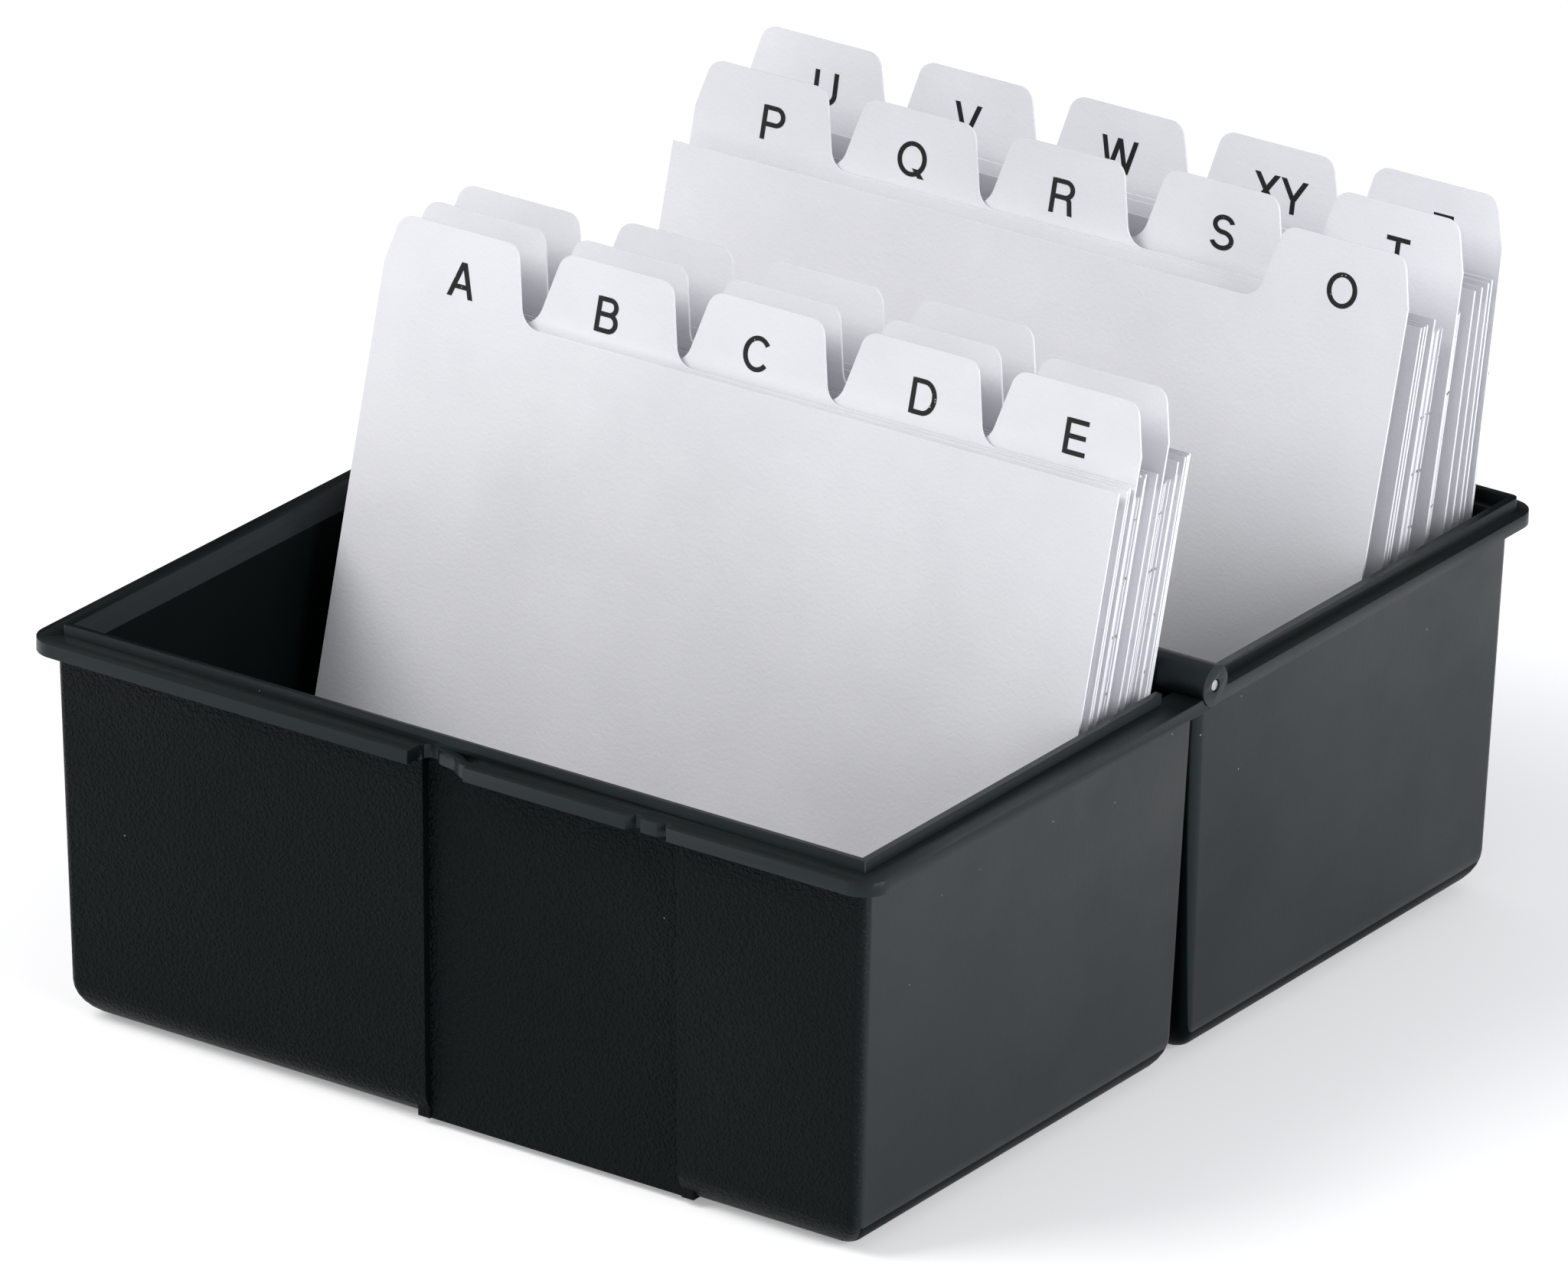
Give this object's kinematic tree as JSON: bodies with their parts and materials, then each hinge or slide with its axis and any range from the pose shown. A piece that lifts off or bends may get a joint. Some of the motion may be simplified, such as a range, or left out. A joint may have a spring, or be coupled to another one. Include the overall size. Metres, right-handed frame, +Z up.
{
  "type": "card index box",
  "caption": "Flat clamshell card index box standing open: two hinged plastic trays full of cards and lettered tab guides.",
  "frame": {"origin": "on the ground under the middle of the hinge, which is the middle of the open box", "axes": "+X along the hinge to the right, +Y from the base tray to the lid tray, +Z up"},
  "size_m": [0.17, 0.198, 0.123],
  "materials": {
    "tray_plastic": "black polystyrene with a spark-eroded grain on the front",
    "steel_rod": "bright drawn steel wire, cut ends",
    "guide_board": "off-white board with a fine grain",
    "index_cards": "white card"
  },
  "bodies": {
    "base": {"base_tray": "tray_plastic", "hinge_rod": "steel_rod"},
    "lid": {"lid_tray": "tray_plastic"},
    "packet_a": {"cards_a": "index_cards"},
    "lettered_guide_a": {"guide_a": "guide_board"},
    "packet_b": {"cards_b": "index_cards"},
    "lettered_guide_b": {"guide_b": "guide_board"},
    "packet_c": {"cards_c": "index_cards"},
    "lettered_guide_c": {"guide_c": "guide_board"},
    "packet_d": {"cards_d": "index_cards"},
    "lettered_guide_d": {"guide_d": "guide_board"},
    "packet_e": {"cards_e": "index_cards"},
    "lettered_guide_e": {"guide_e": "guide_board"},
    "packet_f": {"cards_f": "index_cards"},
    "lettered_guide_f": {"guide_f": "guide_board"},
    "packet_g": {"cards_g": "index_cards"},
    "lettered_guide_g": {"guide_g": "guide_board"},
    "packet_h": {"cards_h": "index_cards"},
    "lettered_guide_h": {"guide_h": "guide_board"},
    "packet_i": {"cards_i": "index_cards"},
    "lettered_guide_i": {"guide_i": "guide_board"},
    "packet_j": {"cards_j": "index_cards"},
    "lettered_guide_j": {"guide_j": "guide_board"},
    "packet_k": {"cards_k": "index_cards"},
    "lettered_guide_k": {"guide_k": "guide_board"},
    "packet_l": {"cards_l": "index_cards"},
    "lettered_guide_l": {"guide_l": "guide_board"},
    "packet_m": {"cards_m": "index_cards"},
    "lettered_guide_m": {"guide_m": "guide_board"},
    "packet_n": {"cards_n": "index_cards"},
    "lettered_guide_n": {"guide_n": "guide_board"},
    "packet_o": {"cards_o": "index_cards"},
    "lettered_guide_o": {"guide_o": "guide_board"},
    "packet_p": {"cards_p": "index_cards"},
    "lettered_guide_p": {"guide_p": "guide_board"},
    "packet_q": {"cards_q": "index_cards"},
    "lettered_guide_q": {"guide_q": "guide_board"},
    "packet_r": {"cards_r": "index_cards"},
    "lettered_guide_r": {"guide_r": "guide_board"},
    "packet_s": {"cards_s": "index_cards"},
    "lettered_guide_s": {"guide_s": "guide_board"},
    "packet_t": {"cards_t": "index_cards"},
    "lettered_guide_t": {"guide_t": "guide_board"},
    "packet_u": {"cards_u": "index_cards"},
    "lettered_guide_u": {"guide_u": "guide_board"},
    "packet_v": {"cards_v": "index_cards"},
    "lettered_guide_v": {"guide_v": "guide_board"},
    "packet_w": {"cards_w": "index_cards"},
    "lettered_guide_w": {"guide_w": "guide_board"},
    "packet_xy": {"cards_xy": "index_cards"},
    "lettered_guide_xy": {"guide_xy": "guide_board"},
    "packet_z": {"cards_z": "index_cards"},
    "lettered_guide_z": {"guide_z": "guide_board"}
  },
  "joints": [
    {"name": "lid_hinge", "type": "hinge", "parent": "base", "child": "lid", "pos_m": [0, 0, 0.0704], "axis": [1, 0, 0], "range_deg": [0, 180]},
    {"name": "tilt_a", "type": "hinge", "parent": "base", "child": "packet_a", "pos_m": [0, -0.03503, 0.07072], "axis": [1, 0, 0], "range_deg": [0, 14.6]},
    {"name": "lift_a", "type": "slide", "parent": "packet_a", "child": "lettered_guide_a", "axis": [0, -0.2521, -0.9677], "range_m": [-0.125, 0]},
    {"name": "tilt_b", "type": "hinge", "parent": "base", "child": "packet_b", "pos_m": [0, -0.03325, 0.07049], "axis": [1, 0, 0], "range_deg": [0, 14.6]},
    {"name": "lift_b", "type": "slide", "parent": "packet_b", "child": "lettered_guide_b", "axis": [0, -0.2521, -0.9677], "range_m": [-0.125, 0]},
    {"name": "tilt_c", "type": "hinge", "parent": "base", "child": "packet_c", "pos_m": [0, -0.03208, 0.07035], "axis": [1, 0, 0], "range_deg": [0, 14.6]},
    {"name": "lift_c", "type": "slide", "parent": "packet_c", "child": "lettered_guide_c", "axis": [0, -0.2521, -0.9677], "range_m": [-0.125, 0]},
    {"name": "tilt_d", "type": "hinge", "parent": "base", "child": "packet_d", "pos_m": [0, -0.03122, 0.07023], "axis": [1, 0, 0], "range_deg": [0, 14.6]},
    {"name": "lift_d", "type": "slide", "parent": "packet_d", "child": "lettered_guide_d", "axis": [0, -0.2521, -0.9677], "range_m": [-0.125, 0]},
    {"name": "tilt_e", "type": "hinge", "parent": "base", "child": "packet_e", "pos_m": [0, -0.03036, 0.07012], "axis": [1, 0, 0], "range_deg": [0, 14.6]},
    {"name": "lift_e", "type": "slide", "parent": "packet_e", "child": "lettered_guide_e", "axis": [0, -0.2521, -0.9677], "range_m": [-0.125, 0]},
    {"name": "tilt_f", "type": "hinge", "parent": "base", "child": "packet_f", "pos_m": [0, -0.02736, 0.06974], "axis": [1, 0, 0], "range_deg": [0, 14.6]},
    {"name": "lift_f", "type": "slide", "parent": "packet_f", "child": "lettered_guide_f", "axis": [0, -0.2521, -0.9677], "range_m": [-0.125, 0]},
    {"name": "tilt_g", "type": "hinge", "parent": "base", "child": "packet_g", "pos_m": [0, -0.02649, 0.06963], "axis": [1, 0, 0], "range_deg": [0, 14.6]},
    {"name": "lift_g", "type": "slide", "parent": "packet_g", "child": "lettered_guide_g", "axis": [0, -0.2521, -0.9677], "range_m": [-0.125, 0]},
    {"name": "tilt_h", "type": "hinge", "parent": "base", "child": "packet_h", "pos_m": [0, -0.02563, 0.06952], "axis": [1, 0, 0], "range_deg": [0, 14.6]},
    {"name": "lift_h", "type": "slide", "parent": "packet_h", "child": "lettered_guide_h", "axis": [0, -0.2521, -0.9677], "range_m": [-0.125, 0]},
    {"name": "tilt_i", "type": "hinge", "parent": "base", "child": "packet_i", "pos_m": [0, -0.02446, 0.06937], "axis": [1, 0, 0], "range_deg": [0, 14.6]},
    {"name": "lift_i", "type": "slide", "parent": "packet_i", "child": "lettered_guide_i", "axis": [0, -0.2521, -0.9677], "range_m": [-0.125, 0]},
    {"name": "tilt_j", "type": "hinge", "parent": "base", "child": "packet_j", "pos_m": [0, -0.02268, 0.06914], "axis": [1, 0, 0], "range_deg": [0, 14.6]},
    {"name": "lift_j", "type": "slide", "parent": "packet_j", "child": "lettered_guide_j", "axis": [0, -0.2521, -0.9677], "range_m": [-0.125, 0]},
    {"name": "tilt_k", "type": "hinge", "parent": "base", "child": "packet_k", "pos_m": [0, -0.01816, 0.06856], "axis": [1, 0, 0], "range_deg": [0, 14.6]},
    {"name": "lift_k", "type": "slide", "parent": "packet_k", "child": "lettered_guide_k", "axis": [0, -0.2521, -0.9677], "range_m": [-0.125, 0]},
    {"name": "tilt_l", "type": "hinge", "parent": "base", "child": "packet_l", "pos_m": [0, -0.01577, 0.06825], "axis": [1, 0, 0], "range_deg": [0, 14.6]},
    {"name": "lift_l", "type": "slide", "parent": "packet_l", "child": "lettered_guide_l", "axis": [0, -0.2521, -0.9677], "range_m": [-0.125, 0]},
    {"name": "tilt_m", "type": "hinge", "parent": "base", "child": "packet_m", "pos_m": [0, -0.0149, 0.06814], "axis": [1, 0, 0], "range_deg": [0, 14.6]},
    {"name": "lift_m", "type": "slide", "parent": "packet_m", "child": "lettered_guide_m", "axis": [0, -0.2521, -0.9677], "range_m": [-0.125, 0]},
    {"name": "tilt_n", "type": "hinge", "parent": "base", "child": "packet_n", "pos_m": [0, -0.01404, 0.06803], "axis": [1, 0, 0], "range_deg": [0, 14.6]},
    {"name": "lift_n", "type": "slide", "parent": "packet_n", "child": "lettered_guide_n", "axis": [0, -0.2521, -0.9677], "range_m": [-0.125, 0]},
    {"name": "tilt_o", "type": "hinge", "parent": "lid", "child": "packet_o", "pos_m": [0, 0.05014, 0.06724], "axis": [1, 0, 0], "range_deg": [0, 24.1]},
    {"name": "lift_o", "type": "slide", "parent": "packet_o", "child": "lettered_guide_o", "axis": [0, -0.2504, -0.9681], "range_m": [-0.125, 0]},
    {"name": "tilt_p", "type": "hinge", "parent": "lid", "child": "packet_p", "pos_m": [0, 0.05498, 0.0587], "axis": [1, 0, 0], "range_deg": [0, 23.2]},
    {"name": "lift_p", "type": "slide", "parent": "packet_p", "child": "lettered_guide_p", "axis": [0, -0.2351, -0.972], "range_m": [-0.125, 0]},
    {"name": "tilt_q", "type": "hinge", "parent": "lid", "child": "packet_q", "pos_m": [0, 0.05587, 0.05877], "axis": [1, 0, 0], "range_deg": [0, 23.2]},
    {"name": "lift_q", "type": "slide", "parent": "packet_q", "child": "lettered_guide_q", "axis": [0, -0.2351, -0.972], "range_m": [-0.125, 0]},
    {"name": "tilt_r", "type": "hinge", "parent": "lid", "child": "packet_r", "pos_m": [0, 0.05676, 0.05884], "axis": [1, 0, 0], "range_deg": [0, 23.2]},
    {"name": "lift_r", "type": "slide", "parent": "packet_r", "child": "lettered_guide_r", "axis": [0, -0.2351, -0.972], "range_m": [-0.125, 0]},
    {"name": "tilt_s", "type": "hinge", "parent": "lid", "child": "packet_s", "pos_m": [0, 0.06055, 0.05624], "axis": [1, 0, 0], "range_deg": [0, 22.7]},
    {"name": "lift_s", "type": "slide", "parent": "packet_s", "child": "lettered_guide_s", "axis": [0, -0.2267, -0.974], "range_m": [-0.125, 0]},
    {"name": "tilt_t", "type": "hinge", "parent": "lid", "child": "packet_t", "pos_m": [0, 0.06968, 0.04404], "axis": [1, 0, 0], "range_deg": [0, 20.9]},
    {"name": "lift_t", "type": "slide", "parent": "packet_t", "child": "lettered_guide_t", "axis": [0, -0.1959, -0.9806], "range_m": [-0.125, 0]},
    {"name": "tilt_u", "type": "hinge", "parent": "lid", "child": "packet_u", "pos_m": [0, 0.07601, 0.03706], "axis": [1, 0, 0], "range_deg": [0, 19.9]},
    {"name": "lift_u", "type": "slide", "parent": "packet_u", "child": "lettered_guide_u", "axis": [0, -0.1788, -0.9839], "range_m": [-0.125, 0]},
    {"name": "tilt_v", "type": "hinge", "parent": "lid", "child": "packet_v", "pos_m": [0, 0.07802, 0.03471], "axis": [1, 0, 0], "range_deg": [0, 19.6]},
    {"name": "lift_v", "type": "slide", "parent": "packet_v", "child": "lettered_guide_v", "axis": [0, -0.1736, -0.9848], "range_m": [-0.125, 0]},
    {"name": "tilt_w", "type": "hinge", "parent": "lid", "child": "packet_w", "pos_m": [0, 0.08013, 0.03183], "axis": [1, 0, 0], "range_deg": [0, 19.2]},
    {"name": "lift_w", "type": "slide", "parent": "packet_w", "child": "lettered_guide_w", "axis": [0, -0.1668, -0.986], "range_m": [-0.125, 0]},
    {"name": "tilt_xy", "type": "hinge", "parent": "lid", "child": "packet_xy", "pos_m": [0, 0.08173, 0.02992], "axis": [1, 0, 0], "range_deg": [0, 18.9]},
    {"name": "lift_xy", "type": "slide", "parent": "packet_xy", "child": "lettered_guide_xy", "axis": [0, -0.1616, -0.9869], "range_m": [-0.125, 0]},
    {"name": "tilt_z", "type": "hinge", "parent": "lid", "child": "packet_z", "pos_m": [0, 0.08384, 0.02694], "axis": [1, 0, 0], "range_deg": [0, 18.4]},
    {"name": "lift_z", "type": "slide", "parent": "packet_z", "child": "lettered_guide_z", "axis": [0, -0.153, -0.9882], "range_m": [-0.125, 0]}
  ],
  "couplings": [
    {"joint": "tilt_a", "follows": "lid_hinge", "ratio": 0.081111},
    {"joint": "tilt_b", "follows": "lid_hinge", "ratio": 0.081111},
    {"joint": "tilt_c", "follows": "lid_hinge", "ratio": 0.081111},
    {"joint": "tilt_d", "follows": "lid_hinge", "ratio": 0.081111},
    {"joint": "tilt_e", "follows": "lid_hinge", "ratio": 0.081111},
    {"joint": "tilt_f", "follows": "lid_hinge", "ratio": 0.081111},
    {"joint": "tilt_g", "follows": "lid_hinge", "ratio": 0.081111},
    {"joint": "tilt_h", "follows": "lid_hinge", "ratio": 0.081111},
    {"joint": "tilt_i", "follows": "lid_hinge", "ratio": 0.081111},
    {"joint": "tilt_j", "follows": "lid_hinge", "ratio": 0.081111},
    {"joint": "tilt_k", "follows": "lid_hinge", "ratio": 0.081111},
    {"joint": "tilt_l", "follows": "lid_hinge", "ratio": 0.081111},
    {"joint": "tilt_m", "follows": "lid_hinge", "ratio": 0.081111},
    {"joint": "tilt_n", "follows": "lid_hinge", "ratio": 0.081111},
    {"joint": "tilt_o", "follows": "lid_hinge", "ratio": 0.13389},
    {"joint": "tilt_p", "follows": "lid_hinge", "ratio": 0.12889},
    {"joint": "tilt_q", "follows": "lid_hinge", "ratio": 0.12889},
    {"joint": "tilt_r", "follows": "lid_hinge", "ratio": 0.12889},
    {"joint": "tilt_s", "follows": "lid_hinge", "ratio": 0.12611},
    {"joint": "tilt_t", "follows": "lid_hinge", "ratio": 0.11611},
    {"joint": "tilt_u", "follows": "lid_hinge", "ratio": 0.11056},
    {"joint": "tilt_v", "follows": "lid_hinge", "ratio": 0.10889},
    {"joint": "tilt_w", "follows": "lid_hinge", "ratio": 0.10667},
    {"joint": "tilt_xy", "follows": "lid_hinge", "ratio": 0.105},
    {"joint": "tilt_z", "follows": "lid_hinge", "ratio": 0.10222}
  ]
}
